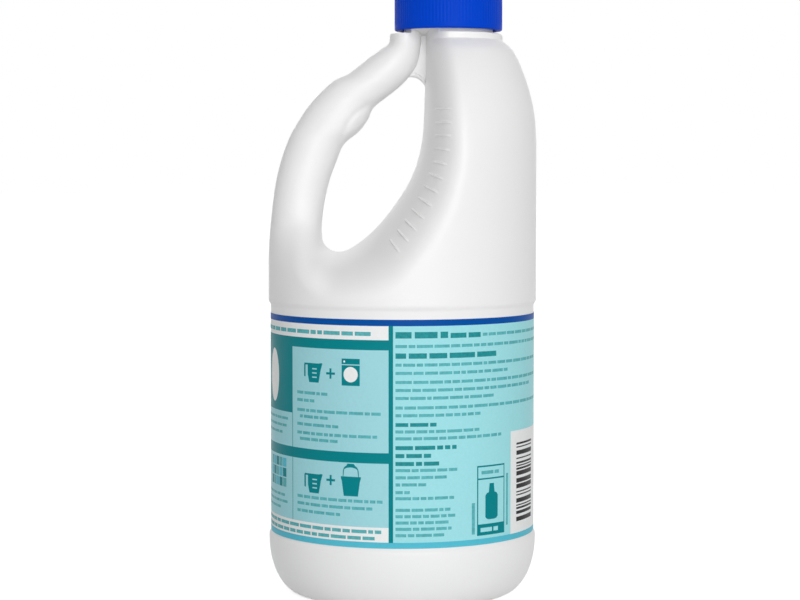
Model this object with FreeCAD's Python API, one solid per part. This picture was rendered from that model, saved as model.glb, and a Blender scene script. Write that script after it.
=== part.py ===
import FreeCAD, Part
import math
import os

from FreeCAD import Vector

os.makedirs("parts", exist_ok=True)

# A round blow-moulded bottle with a hollow handle pinched out of its shoulder, a neck set over to
# one side, a screw cap with a liner and a wrap-round label.
# Origin at the centre of the base on the body's axis. +X is the pouring side, -X the handle.

# Body, mm
BODY_R = 53.0
WALL = 0.9
FOOT_R = 41.0
FOOT_INNER_R = 36.0
PUSH_UP_R = 30.0
PUSH_UP = 3.0
CORNER_H = 21.8
CORNER_STEPS = 8

# Label and the shallow panel that it lies in
PANEL_DEPTH = 0.8
PANEL_BOTTOM = 24.0
PANEL_TOP = 115.0
SEAM_OVERLAP = 1.0
LABEL_BOTTOM = 24.8
LABEL_TOP = 111.1
LABEL_GAP = 0.05
LABEL_THICK = 0.15

# Neck, collar and cap
NECK_X = 18.2
NECK_R = 17.5
BORE_R = 15.9
COLLAR_R = 21.3
COLLAR_BOTTOM = 217.8
COLLAR_TOP = 220.6
COLLAR_SINK = 1.0
ROOF_THICK = 0.9
CAP_R = 21.25
CAP_H = 27.0
CAP_GAP = 1.3
CAP_TOP_THICK = 1.6
CAP_BORE_R = 18.95
CAP_EDGE_R = 1.6
CAP_LIP_H = 1.8
RIB_COUNT = 96
RIB_DEPTH = 0.35
RIB_CREST_CLEAR = 0.01
RIB_FOOT = 0.3
RIB_CREST_START = 0.5
RIB_CREST_END = 0.8
LINER_R = 18.4
LINER_THICK = 1.0
NECK_LIP_R = 0.6

# Shoulder above the label
SHOULDER_START = 150.0
SIDE_START = 177.5
SIDE_ARC_R = 78.0
COLUMN_TOP = COLLAR_BOTTOM + COLLAR_SINK
TUCK_Z = 100.0
TUCK_H = 15.0
TUBE_DEPTH = 11.5
TUBE_TOP_DEPTH = 8.5
FLANK_POWER = 0.5
SPOKE_SHORT = 4.0
CROSS_STEPS = 14
MIRROR_ROWS = 3
ROUND_BELOW = 118.0
ROUND_FADE = 30.0

# Web left between the handle and the column where the mould pinches both walls together
WEB_THICK = 1.8
WEB_ARCH = [(-1.0, 203.0), (4.5, 204.1), (11.0, 198.6)]
WEB_TOP = COLLAR_BOTTOM + COLLAR_SINK / 2
NOTCH_X = 8.0
NOTCH_HALF = 4.0
NOTCH_OVERCUT = 1.0

# Cutting blocks reach well past everything, and edges are found to this tolerance
CUTTER = 4 * BODY_R
TOLERANCE = 1e-4

# Stations round the hand hole, from the top of the handle down, below the hole and up the column.
# Each is a point on the hole's edge (x, z), a point on the outer outline (x, z), how far the
# section there is body rather than handle tube, and the width of the flank that rises to full depth.
STATIONS = [
    ((7.4, COLLAR_TOP), (-4.8, COLLAR_TOP), 0.0, 10),
    ((7.4, 216.8), (-5.4, 217.0), 0.0, 10),
    ((6.3, 210.3), (-8.0, 215.0), 0.0, 10),
    ((4.6, 206.6), (-12.3, 212.0), 0.0, 10),
    ((2.2, 203.3), (-16.1, 209.0), 0.0, 10),
    ((-1.2, 199.9), (-21.2, 205.1), 0.0, 10),
    ((-5.0, 196.8), (-27.2, 202.2), 0.0, 10),
    ((-11.3, 191.8), (-33.4, 196.5), 0.0, 10),
    ((-13.6, 187.1), (-37.6, 191.6), 0.0, 10),
    ((-17.2, 182.3), (-41.2, 186.1), 0.0, 10),
    ((-23.1, 177.3), (-44.4, 180.5), 0.0, 10),
    ((-26.2, 170.3), (-47.4, 172.7), 0.0, 10),
    ((-28.8, 163.2), (-49.9, 163.2), 0.0, 10),
    ((-30.5, 156.0), (-51.4, 153.0), 0.0, 11),
    ((-31.6, 149.0), (-52.5, 141.0), 0.1, 12),
    ((-31.9, 143.0), (-BODY_R, 127.0), 0.35, 14),
    ((-31.2, 138.6), (-BODY_R, 111.0), 0.7, 16),
    ((-29.0, 136.0), (SPOKE_SHORT - BODY_R, 94.0), 1.0, 17),
    ((-26.0, 134.9), (-35.0, 86.0), 1.0, 18),
    ((-22.6, 135.3), (-18.0, 85.0), 1.0, 18),
    ((-18.6, 137.4), (0.0, 85.0), 1.0, 20),
    ((-14.2, 140.8), (18.0, 85.0), 1.0, 22),
    ((-9.8, 145.0), (35.0, 86.0), 1.0, 22),
    ((-5.6, 149.9), (BODY_R - SPOKE_SHORT, 94.0), 1.0, 22),
    ((-1.6, 155.4), (BODY_R, 111.0), 1.0, 22),
    ((2.2, 161.4), (BODY_R, 130.0), 1.0, 21),
    ((5.0, 167.6), (BODY_R, 148.0), 1.0, 20),
    ((6.9, 174.0), (BODY_R, 165.0), 1.0, 19),
    ((8.1, 181.0), (None, 178.5), 1.0, 17),
    ((8.6, 188.5), (None, 188.5), 1.0, 16),
    ((8.9, 197.5), (None, 197.5), 1.0, 15),
    ((9.3, 206.0), (None, 206.0), 1.0, 13),
    ((9.5, 213.0), (None, 213.0), 1.0, 12),
    ((9.5, 216.6), (41.8, 216.6), 1.0, 11),
    ((9.5, COLUMN_TOP), (39.4, COLUMN_TOP), 1.0, 10),
]


def revolve(edges):
    """Solid turned about the body's axis from a closed run of edges in the XZ plane."""
    face = Part.Face(Part.Wire(edges))
    return face.revolve(Vector(0, 0, 0), Vector(0, 0, 1), 360)


def ring(outer_r, inner_r, bottom, top):
    """Plain ring about the Z axis."""
    height = top - bottom
    outer = Part.makeCylinder(outer_r, height, Vector(0, 0, bottom))
    inner = Part.makeCylinder(inner_r, height, Vector(0, 0, bottom))
    return outer.cut(inner)


def side_x(z):
    """Outline of the pouring side: straight, then one large arc in to the collar."""
    rise = max(0.0, z - SIDE_START)
    return BODY_R - SIDE_ARC_R + math.sqrt(SIDE_ARC_R ** 2 - rise ** 2)


def centre_x(z):
    """Centre of the round level section, which moves over to the neck's axis with height."""
    share = min(1.0, max(0.0, (z - SHOULDER_START) / (COLLAR_BOTTOM - SHOULDER_START)))
    return NECK_X * share ** 2


def round_depth(x, z, right):
    """Half depth of the round body at x, where right is its outline on the pouring side."""
    radius = right - centre_x(z)
    return math.sqrt(max(0.0, radius ** 2 - (x - centre_x(z)) ** 2))


def smooth_step(share):
    share = min(1.0, max(0.0, share))
    return share * share * (3 - 2 * share)


def tuck(z):
    """Closing of the form below the seam, where it is cut off."""
    if z >= TUCK_Z:
        return 1.0
    return math.sqrt(max(0, 1 - ((TUCK_Z - z) / TUCK_H) ** 2))


def station_row(hole, outline, body_share, flank):
    """Points of one half section, from the edge of the hole to the outer outline."""
    hole_x, hole_z = hole
    out_x, out_z = outline
    if out_x is None:
        out_x = side_x(out_z)
    length = math.hypot(out_x - hole_x, out_z - hole_z)
    lift = min(1.0, max(0.0, (hole_z - SHOULDER_START) / (COLLAR_TOP - SHOULDER_START)))
    tube_depth = TUBE_DEPTH + (TUBE_TOP_DEPTH - TUBE_DEPTH) * lift ** 2
    row = []
    for step in range(CROSS_STEPS + 1):
        share = (1 - math.cos(math.pi * step / CROSS_STEPS)) / 2
        x = hole_x + (out_x - hole_x) * share
        z = hole_z + (out_z - hole_z) * share
        tube = tube_depth * math.sin(math.pi * step / CROSS_STEPS)
        rise = min(1.0, share * length / flank)
        right = out_x if hole_z > SHOULDER_START and out_x > 0 else BODY_R
        body = round_depth(x, z, right) * math.sin(math.pi / 2 * rise) ** FLANK_POWER * tuck(z)
        roundness = body_share + (1 - body_share) * smooth_step((ROUND_BELOW + ROUND_FADE - z) / ROUND_FADE)
        depth = (1 - roundness) * tube + roundness * body
        if step in (0, CROSS_STEPS):
            depth = 0.0
        row.append(Vector(x, -depth, z))
    return row


def mirrored(point):
    return Vector(point.x, -point.y, point.z)


def inset_grid(grid, distance):
    """Grid moved inwards along its own normals."""
    last_row = len(grid) - 1
    result = []
    for i, row in enumerate(grid):
        before = grid[max(0, i - 1)]
        after = grid[min(last_row, i + 1)]
        moved = []
        for j, point in enumerate(row):
            left = row[j - 1] if j > 0 else mirrored(row[1])
            right = row[j + 1] if j < len(row) - 1 else mirrored(row[-2])
            normal = (after[j] - before[j]).cross(right - left)
            if i in (0, last_row):
                normal.z = 0
            if j in (0, len(row) - 1):
                normal.y = 0
            normal.normalize()
            moved.append(point + normal * distance)
        result.append(moved)
    return result


def sheet_face(grid):
    """Smooth face through the grid, carried on past the middle plane so that it crosses it squarely."""
    spread = [
        [mirrored(p) for p in row[MIRROR_ROWS:0:-1]] + row
        + [mirrored(p) for p in row[-2:-2 - MIRROR_ROWS:-1]]
        for row in grid
    ]
    surface = Part.BSplineSurface()
    surface.interpolate(spread)
    knots = surface.getVKnots()
    first = min(knots, key=lambda v: abs(surface.value(0, v).distanceToPoint(grid[0][0])))
    last = min(knots, key=lambda v: abs(surface.value(0, v).distanceToPoint(grid[0][-1])))
    u_start, u_end = surface.bounds()[:2]
    surface.segment(u_start, u_end, first, last)
    return surface.toShape()


def end_face(front, back, height):
    """Flat face over the end of the form at the given height."""
    edges = [e for e in front.Edges + back.Edges
             if abs(e.BoundBox.ZMin - height) < TOLERANCE and abs(e.BoundBox.ZMax - height) < TOLERANCE]
    return Part.Face(Part.Wire(Part.__sortEdges__(edges)))


def shoulder_form(grid):
    """Closed solid of the shoulder: a front sheet, its mirror image and a flat face at each end."""
    front = sheet_face(grid)
    back = sheet_face([[mirrored(p) for p in row] for row in grid])
    handle_end = end_face(front, back, grid[0][0].z)
    column_end = end_face(front, back, grid[-1][0].z)
    shell = Part.makeCompound([front, back, handle_end, column_end])
    shell.sewShape()
    solid = Part.Solid(shell.Shells[0])
    if solid.Volume < 0:
        solid.reverse()
    return solid


def above(z):
    return Part.makeBox(CUTTER, CUTTER, CUTTER, Vector(-CUTTER / 2, -CUTTER / 2, z))


def below(z):
    return above(z - CUTTER)


def lower_form(inset):
    """Base, corner and label panel as one turned solid, running up into the shoulder."""
    radius = BODY_R - inset
    floor = inset
    foot = FOOT_R - inset / 2
    panel = radius - PANEL_DEPTH
    top = PANEL_TOP + inset + SEAM_OVERLAP
    corner = Part.BSplineCurve()
    corner.interpolate([
        Vector(foot + (radius - foot) * math.sin(turn), 0, CORNER_H - (CORNER_H - floor) * math.cos(turn))
        for turn in (math.pi / 2 * step / CORNER_STEPS for step in range(CORNER_STEPS + 1))
    ])
    middle = (0, floor + PUSH_UP)
    underside = [middle, (PUSH_UP_R, floor + PUSH_UP), (FOOT_INNER_R - inset / 2, floor), (foot, floor)]
    side = [(radius, CORNER_H), (radius, PANEL_BOTTOM - PANEL_DEPTH), (panel, PANEL_BOTTOM), (panel, top)]
    side += [(0, top), middle]
    edges = Part.makePolygon([Vector(r, 0, z) for r, z in underside]).Edges
    edges.append(corner.toShape())
    edges += Part.makePolygon([Vector(r, 0, z) for r, z in side]).Edges
    return revolve(edges)


def web():
    """Flat membrane in the middle plane, with an arched lower edge over the hand hole."""
    left, crown, right = [Vector(x, -WEB_THICK / 2, z) for x, z in WEB_ARCH]
    top_right = Vector(right.x, right.y, WEB_TOP)
    top_left = Vector(crown.x, left.y, WEB_TOP)
    edges = [Part.Arc(left, crown, right).toShape()]
    edges += Part.makePolygon([right, top_right, top_left, left]).Edges
    return Part.Face(Part.Wire(edges)).extrude(Vector(0, WEB_THICK, 0))


def collar():
    """Ring under the cap, notched front and back where the handle and the column part."""
    disc = Part.makeCylinder(COLLAR_R, COLLAR_TOP - COLLAR_BOTTOM, Vector(NECK_X, 0, COLLAR_BOTTOM))
    notch = Part.Face(Part.makePolygon([
        Vector(NOTCH_X, -BODY_R, COLLAR_BOTTOM - NOTCH_OVERCUT),
        Vector(NOTCH_X + NOTCH_HALF, -BODY_R, COLLAR_TOP + NOTCH_OVERCUT),
        Vector(NOTCH_X - NOTCH_HALF, -BODY_R, COLLAR_TOP + NOTCH_OVERCUT),
        Vector(NOTCH_X, -BODY_R, COLLAR_BOTTOM - NOTCH_OVERCUT),
    ])).extrude(Vector(0, 2 * BODY_R, 0))
    return disc.cut(notch)


def neck():
    """Plain outside of the neck, rounded at the mouth."""
    height = neck_top() - COLLAR_BOTTOM
    tube = Part.makeCylinder(NECK_R, height, Vector(NECK_X, 0, COLLAR_BOTTOM))
    rim = [e for e in tube.Edges if abs(e.BoundBox.ZMin - neck_top()) < TOLERANCE]
    return tube.makeFillet(NECK_LIP_R, rim)


def cap_bottom():
    return COLLAR_TOP + CAP_GAP


def neck_top():
    return cap_bottom() + CAP_H - CAP_TOP_THICK - LINER_THICK


def bottle_body():
    """The bottle as blown: one wall round a hollow that runs on through the handle."""
    grid = [station_row(*station) for station in STATIONS]
    outer = shoulder_form(grid).cut(below(PANEL_TOP))
    outer = outer.fuse(lower_form(0))
    for piece in (web(), collar(), neck()):
        outer = outer.fuse(piece)
    inner = shoulder_form(inset_grid(grid, WALL))
    inner = inner.cut(below(PANEL_TOP + WALL)).cut(above(COLUMN_TOP))
    inner = inner.fuse(lower_form(WALL))
    bore_bottom = COLLAR_BOTTOM + ROOF_THICK
    bore = Part.makeCylinder(BORE_R, CUTTER, Vector(NECK_X, 0, bore_bottom))
    return outer.cut(inner.fuse(bore))


def cap():
    """Ribbed screw cap, open below."""
    core_r = CAP_R - RIB_DEPTH
    shell = Part.makeCylinder(CAP_R, CAP_H)
    top_rim = [e for e in shell.Edges if abs(e.BoundBox.ZMin - CAP_H) < TOLERANCE]
    shell = shell.makeFillet(CAP_EDGE_R, top_rim)
    crest_r = CAP_R + RIB_CREST_CLEAR
    section = [(0, core_r), (RIB_FOOT, core_r), (RIB_CREST_START, crest_r), (RIB_CREST_END, crest_r)]
    corners = []
    pitch = 2 * math.pi / RIB_COUNT
    for rib in range(RIB_COUNT):
        for share, radius in section:
            angle = (rib + share) * pitch
            corners.append(Vector(radius * math.cos(angle), radius * math.sin(angle), CAP_LIP_H))
    ribbed = Part.Face(Part.makePolygon(corners + corners[:1])).extrude(Vector(0, 0, CAP_H))
    lip = Part.makeCylinder(CAP_R, CAP_LIP_H)
    outside = shell.common(ribbed).fuse(lip)
    bore = Part.makeCylinder(CAP_BORE_R, CAP_H - CAP_TOP_THICK)
    return outside.cut(bore).translated(Vector(NECK_X, 0, cap_bottom()))


def cap_liner():
    """Sealing disc between the cap's ceiling and the mouth of the neck."""
    return Part.makeCylinder(LINER_R, LINER_THICK, Vector(NECK_X, 0, neck_top()))


def label_wrap():
    """Printed film wrapped once round the panel."""
    inner_r = BODY_R - PANEL_DEPTH + LABEL_GAP
    return ring(inner_r + LABEL_THICK, inner_r, LABEL_BOTTOM, LABEL_TOP)


PIECES = {
    "bottle_body": bottle_body,
    "cap": cap,
    "cap_liner": cap_liner,
    "label_wrap": label_wrap,
}


def main():
    for name, make in PIECES.items():
        shape = make()
        print(name, len(shape.Solids), "valid" if shape.isValid() else "not valid", round(shape.Volume, 1))
        shape.exportStep("parts/" + name + ".step")


if __name__ == "__main__":
    main()
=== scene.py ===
import math
import random

import bmesh
import bpy
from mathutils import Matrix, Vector


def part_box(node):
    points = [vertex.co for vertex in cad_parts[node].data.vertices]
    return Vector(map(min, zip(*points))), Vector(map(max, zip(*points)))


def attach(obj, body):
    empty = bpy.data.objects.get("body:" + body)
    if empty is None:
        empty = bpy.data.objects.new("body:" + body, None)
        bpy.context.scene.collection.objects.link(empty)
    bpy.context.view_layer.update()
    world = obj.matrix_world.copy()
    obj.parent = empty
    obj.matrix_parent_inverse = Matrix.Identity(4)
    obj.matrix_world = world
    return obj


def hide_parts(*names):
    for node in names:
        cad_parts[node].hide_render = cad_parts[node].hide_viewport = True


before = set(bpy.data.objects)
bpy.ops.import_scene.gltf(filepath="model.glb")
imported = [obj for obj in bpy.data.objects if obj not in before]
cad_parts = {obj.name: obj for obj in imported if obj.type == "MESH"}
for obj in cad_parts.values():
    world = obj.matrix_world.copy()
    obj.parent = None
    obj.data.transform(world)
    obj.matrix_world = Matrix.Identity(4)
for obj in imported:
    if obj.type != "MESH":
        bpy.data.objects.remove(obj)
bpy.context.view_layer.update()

MM = 0.001
SHARP_ANGLE = 38


def cad_box(node):
    """Lowest and highest corner of a CAD node, in mm."""
    return [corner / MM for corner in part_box(node)]


# Sizes taken from the frame. All lengths are in mm, apart from those of the floor, lamps and camera.
CAP_LOW, CAP_HIGH = cad_box("cap")
LABEL_LOW, LABEL_HIGH = cad_box("label_wrap")
NECK_TOP = cad_box("bottle_body")[1].z
NECK_X = (CAP_LOW.x + CAP_HIGH.x) / 2
CAP_R = CAP_HIGH.y
CAP_BOTTOM = CAP_LOW.z
CAP_TOP = CAP_HIGH.z
CAP_CEILING = cad_box("cap_liner")[1].z
LABEL_R = LABEL_HIGH.y
LABEL_BOTTOM = LABEL_LOW.z
LABEL_TOP = LABEL_HIGH.z

# Body
WALL = 0.9
LABEL_STACK = 0.2
PANEL_DEPTH = 0.8
PANEL_R = LABEL_R - LABEL_STACK
BODY_R = PANEL_R + PANEL_DEPTH
SEAM_Z = 117.4
CORNER_H = 21.8
CORNER_STEPS = 18
FOOT_R = 41.0
FOOT_INNER_R = 36.0
PUSH_UP_R = 30.0
PUSH_UP = 3.0
PANEL_RINGS = range(110, 25, -8)

# Edges of the panel: share of its depth, and distance below the seam or above the base's corner
PANEL_TOP = [(1.0, 0.6), (1.0, 1.1), (0.93, 1.6), (0.72, 2.1), (0.4, 2.6), (0.14, 3.0), (0.0, 3.5)]
PANEL_FOOT = [(0.0, 2.9), (0.12, 2.5), (0.5, 2.0), (0.88, 1.6), (1.0, 1.1)]

# Shoulder, handle and hand hole
SHOULDER_START = 150.0
SIDE_START = 177.5
COLLAR_BOTTOM = 217.8
COLLAR_TOP = 220.6
COLUMN_TOP = COLLAR_BOTTOM + 0.3
TUBE_DEPTH = 11.5
TUBE_TOP_DEPTH = 8.5
TUBE_END_Z = 207.0
TUBE_END_SWELL = 1.9
ROUND_BELOW = 118.0
ROUND_FADE = 30.0
CROSS_STEPS = 44
ROWS_PER_STATION = 6
SEAM_STEPS = 90
SEAM_RINGS = 6

# Neck, collar and cap
NECK_R = 17.5
BORE_R = 15.9
COLLAR_R = 21.3
COLLAR_INSET = 0.45
COLLAR_INSET_RUN = 2.4
COLLAR_START_X = 12.8
COLLAR_FULL_X = 16.8
COLLAR_REST = 0.03
COLLAR_TUCK = 0.3
COLLAR_EDGE_R = 1.0
NECK_FILLET_R = 0.8
NECK_MIDDLE_Z = 232.0
MOUTH_EDGE_R = 0.6
MOUTH_CHAMFER = 0.3
TURN_STEPS = 192
ARC_MIDDLE = 0.3
THREAD_PITCH = 4.233
THREAD_HEIGHT = 1.05
THREAD_HALF = 1.05
THREAD_CREST_HALF = 0.45
THREAD_TURNS = 1.6
THREAD_STEPS = 96
THREAD_TAPER_STEPS = 8
THREAD_ROOT = 0.15
THREAD_DROP = 11.0
CAP_BORE_R = 18.95
CAP_BORE_CHAMFER = 0.5
CAP_LIP_H = 1.8
CAP_EDGE_R = 1.6
CAP_EDGE_STEPS = 6
CAP_DISH = 0.3
CAP_CENTRE_R = 0.6
CAP_MIDDLE_R = 9.0
RIB_COUNT = 96
RIB_DEPTH = 0.1
RIB_STEPS = 8

# Web between handle and column
WEB_HALF = 1.2
WEB_PLATE_HALF = 0.6
WEB_BEAD = 1.7
WEB_ARCH = [(-1.0, 202.2), (1.8, 203.5), (4.4, 203.7), (7.0, 202.6), (8.9, 200.3), (10.2, 197.0)]
WEB_TOP_LEFT = 4.5
WEB_TOP_RIGHT = 11.0
WEB_STEPS = 24
WEB_RIM_STEPS = 8

# Pocket above the web, where handle and column part under the neck
POCKET_X = 8.5
POCKET_TIP_Z = 220.0
POCKET_TOP_Z = 222.8
POCKET_RISE_DEPTH = 13.5
POCKET_DEPTH = 16.9
POCKET_STEPS = 20
POCKET_CROSS_STEPS = 6
POCKET_OVERLAP = 0.2
POCKET_EDGE_TURN = 0.0005
HANDLE_SINK = 0.2
FOOT_FLATNESS = 0.02

# Raised marks beside the hand hole
MARK_FIRST = 22.2
MARK_LAST = 29.2
MARK_COUNT = 12
MARK_WIDTH = 1.15
MARK_HEIGHT = 0.65
MARK_START = 6.5
MARK_DRIFT = 2.8
MARK_LENGTH = 6.2
MARK_ALONG = 10
MARK_ACROSS = 8
MARK_SINK = 0.04
PLACE_NUDGE = 0.05
SHARE_NUDGE = 0.002

# Scar where the mould pinched the base shut
PINCH_REACH = 28.0
PINCH_STEPS = 24
PINCH_HALF = 0.7
PINCH_CREST_HALF = 0.3
PINCH_HEIGHT = 0.35

# Stations round the hand hole: hole edge x, z, outline x, z, share of body, flank width. They go from the
# handle's top down the handle and up the pouring side to the column's top.
STATIONS = [
    (7.4, 220.6, -4.8, 220.6, 0.0, 10),
    (7.4, 216.8, -5.4, 217.0, 0.0, 10),
    (6.3, 210.3, -8.0, 215.0, 0.0, 10),
    (4.6, 206.6, -12.3, 212.0, 0.0, 10),
    (2.2, 203.3, -16.1, 209.0, 0.0, 10),
    (-1.2, 199.9, -21.2, 205.1, 0.0, 10),
    (-5.0, 196.8, -27.2, 202.2, 0.0, 10),
    (-11.3, 191.8, -33.4, 196.5, 0.0, 10),
    (-13.6, 187.1, -37.6, 191.6, 0.0, 10),
    (-17.2, 182.3, -41.2, 186.1, 0.0, 10),
    (-23.1, 177.3, -44.4, 180.5, 0.0, 10),
    (-26.2, 170.3, -47.4, 172.7, 0.0, 10),
    (-28.8, 163.2, -49.9, 163.2, 0.0, 10),
    (-30.5, 156.0, -51.4, 153.0, 0.0, 11),
    (-31.6, 149.0, -52.5, 141.0, 0.1, 12),
    (-31.9, 143.0, -53.0, 127.0, 0.35, 14),
    (-31.2, 138.6, -53.0, 111.0, 0.7, 16),
    (-29.0, 136.0, -49.0, 94.0, 1.0, 17),
    (-26.0, 134.9, -35.0, 86.0, 1.0, 18),
    (-22.6, 135.3, -18.0, 85.0, 1.0, 18),
    (-18.6, 137.4, 0.0, 85.0, 1.0, 20),
    (-14.2, 140.8, 18.0, 85.0, 1.0, 22),
    (-9.8, 145.0, 35.0, 86.0, 1.0, 22),
    (-5.6, 149.9, 49.0, 94.0, 1.0, 22),
    (-1.6, 155.4, 53.0, 111.0, 1.0, 22),
    (2.2, 161.4, 53.0, 130.0, 1.0, 21),
    (5.0, 167.6, 53.0, 148.0, 1.0, 20),
    (6.9, 174.0, 53.0, 165.0, 1.0, 19),
    (8.1, 181.0, 52.99, 178.5, 1.0, 17),
    (8.6, 188.5, 52.22, 188.5, 1.0, 16),
    (8.9, 197.5, 50.4, 197.5, 1.0, 15),
    (9.3, 206.0, 47.57, 206.0, 1.0, 13),
    (9.5, 213.0, 44.4, 213.0, 1.0, 12),
    (9.5, 216.2, 41.9, 216.0, 1.0, 11),
    (9.5, COLUMN_TOP, 39.4, COLUMN_TOP, 1.0, 10),
]

# Stations between which the spokes begin and cease to end on the seam, and the spans each side of these
SEAM_FIRST = (12, 17)
SEAM_LAST = (20, 27)
HANDLE_SPANS = 16
COLUMN_SPANS = 11

# Crease that rounds the finger pad off from the handle, in the view from the side
CREASE = [(-13.2, 192.6), (-16.2, 190.6), (-18.9, 188.6), (-20.9, 185.9), (-22.4, 182.6),
          (-23.6, 179.6)]
CREASE_DEPTH = 0.8
CREASE_WIDTH = 1.0

# Label print: level 0 is the film, each higher level lies just above the one before. Places are s, the
# distance round the label from the photographed side's middle, and z.
LEVEL_R = 0.025
FILM_SINK = 0.1
PRINT_STEP = 1.5
DISC_STEPS = 16
LABEL_SEAM_S = 105.0
PRINT_LOW = 27.0
PRINT_HIGH = 108.7
LEFT_S = -88.0
FOLD_S = -49.1
DIVIDE_LOW_S = -5.2
DIVIDE_HIGH_S = -3.5
RIGHT_S = 88.0
WORD_HEIGHT = 1.15
WORD_START_S = -2.6
PRINT_PANEL_LOW = 32.7
BAND_LOW = (56.9, 60.9)
BAND_HIGH = (99.6, 103.4)
PICTURE_LOW = 74.0
CUP_S = -36.6
PLUS_S = -28.6
PLUS_SIZE = 3.9
PLUS_ARM = 0.11
PARTNER_S = -20.0
BOX_LOW_S = 30.0
BOX_HIGH_S = 44.2
BOX_LINE = 0.5
STRIPES_S = (52.4, 68.4)
STRIPES_Z = (31.4, 62.5)
FILM_COLOURS = {
    "paper": (0.86, 0.87, 0.87),
    "blue": (0.001, 0.077, 0.345),
    "teal": (0.002, 0.225, 0.255),
    "aqua": (0.355, 0.685, 0.745),
    "pale_aqua": (0.355, 0.75, 0.795),
    "stripe": (0.095, 0.515, 0.65),
    "ink": (0.11, 0.44, 0.47),
    "bold": (0.02, 0.27, 0.29),
    "dark": (0.02, 0.02, 0.022),
}
COLOUR_ORDER = list(FILM_COLOURS)

# Materials. The sockets are those of the colour mix, which share their names with its other kinds.
MIX_FACTOR = 0
MIX_LOW = 6
MIX_HIGH = 7
MIX_RESULT = 2
FILM_GLOSS = 0.05
FILM_SPREAD = 0.04
FINE_PRINT_SPREAD = 0.35

# Light levels, and floor, lamps and camera in metres, degrees and watts
AMBIENT = 0.43
FLOOR_GREY = 0.75
FLOOR_GLOW = 0.72
FLOOR_SIZE = 40
LAMPS = [("back", (0.0, 1.8, 0.7), 5.0), ("key", (0.32, -1.75, 0.44), 23.6)]
LAMP_SIZE = 1.3
LAMP_AIM = (0.0, 0.0, 0.16)
CAMERA_PLACE = (-0.0009, -0.865, 0.1644)
CAMERA_PITCH = 3.23
CAMERA_LENS = 98.06
WHITE = (1, 1, 1, 1)


def clamp(value, low=0.0, high=1.0):
    return min(high, max(low, value))


def smooth_step(share):
    share = clamp(share)
    return share * share * (3 - 2 * share)


def spline_value(values, place):
    """Smooth curve through evenly spaced values."""
    i = min(int(place), len(values) - 2)
    f = place - i
    b, c = values[i], values[i + 1]
    a = values[i - 1] if i > 0 else 2 * b - c
    d = values[i + 2] if i + 2 < len(values) else 2 * c - b
    return b + 0.5 * f * (c - a + f * (2 * a - 5 * b + 4 * c - d + f * (3 * (b - c) + d - a)))


def station_at(place):
    """Values of the station at any place between two of the list."""
    values = [spline_value(column, place) for column in zip(*STATIONS)]
    values[2] = clamp(values[2], -BODY_R, BODY_R)
    return values


def centre_x(z):
    """Centre of the round level section, which moves over to the neck's axis with height."""
    share = clamp((z - SHOULDER_START) / (COLLAR_BOTTOM - SHOULDER_START))
    return NECK_X * share ** 2


def round_depth(x, z, right):
    radius = right - centre_x(z)
    return math.sqrt(max(0.0, radius ** 2 - (x - centre_x(z)) ** 2))


def crease_depth(x, z):
    """How far the finger pad's crease dips at a point of the handle."""
    nearest = 1e9
    for (x0, z0), (x1, z1) in zip(CREASE, CREASE[1:]):
        run_x, run_z = x1 - x0, z1 - z0
        along = clamp(((x - x0) * run_x + (z - z0) * run_z) / (run_x ** 2 + run_z ** 2))
        nearest = min(nearest, math.hypot(x - x0 - along * run_x, z - z0 - along * run_z))
    return CREASE_DEPTH * math.exp(-(nearest / CREASE_WIDTH) ** 2)


def sheet_point(station, share):
    """Point of the camera-side half of the skin, share of the way from the hole to the outline."""
    hole_x, hole_z, out_x, out_z, body_share, flank = station
    length = math.hypot(out_x - hole_x, out_z - hole_z)
    lift = clamp((hole_z - SHOULDER_START) / (COLLAR_TOP - SHOULDER_START))
    tube_depth = TUBE_DEPTH + (TUBE_TOP_DEPTH - TUBE_DEPTH) * lift ** 2
    tube_depth += TUBE_END_SWELL * smooth_step((hole_z - TUBE_END_Z) / (COLLAR_TOP - TUBE_END_Z))
    x = hole_x + (out_x - hole_x) * share
    z = hole_z + (out_z - hole_z) * share
    around = math.sqrt(max(0.0, 4 * share * (1 - share)))
    rise = min(1.0, share * length / flank)
    right = out_x if out_z > SIDE_START else BODY_R
    body = round_depth(x, z, right if out_x > 0 else BODY_R) * math.sqrt(math.sin(math.pi / 2 * rise))
    roundness = body_share + (1 - body_share) * smooth_step((ROUND_BELOW + ROUND_FADE - z) / ROUND_FADE)
    depth = (1 - roundness) * tube_depth * around + roundness * body
    return Vector((x, -max(0.0, depth - crease_depth(x, z) * around), z))


def seam_share(station):
    """Share at which a spoke crosses the level of the seam, or 1 where it stays above it."""
    hole_z, out_z = station[1], station[3]
    return 1.0 if out_z >= SEAM_Z else (hole_z - SEAM_Z) / (hole_z - out_z)


def find_place(low, high, wanted):
    """Place between two others at which a test turns from false to true."""
    for _ in range(40):
        middle = (low + high) / 2
        if wanted(middle):
            high = middle
        else:
            low = middle
    return (low + high) / 2


def seam_angle(place):
    """Angle, from the handle side round the camera side, at which a spoke meets the seam."""
    station = station_at(place)
    point = sheet_point(station, seam_share(station))
    return math.atan2(-point.y, -point.x)


def spoke_places():
    """Places of all spokes, and the places of the first and the last one that end on the seam."""
    last = len(STATIONS) - 1
    left = find_place(*SEAM_FIRST, lambda place: station_at(place)[3] < SEAM_Z)
    right = find_place(*SEAM_LAST, lambda place: station_at(place)[3] > SEAM_Z)
    before_count = HANDLE_SPANS * ROWS_PER_STATION
    after_count = COLUMN_SPANS * ROWS_PER_STATION
    before = [left * i / before_count for i in range(before_count)]
    after = [right + (last - right) * (i + 1) / after_count for i in range(after_count)]
    seam = [left]
    for step in range(1, SEAM_STEPS):
        target = math.pi * step / SEAM_STEPS
        seam.append(find_place(left, right, lambda place: seam_angle(place) > target))
    seam.append(right)
    return before, seam, after


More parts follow.
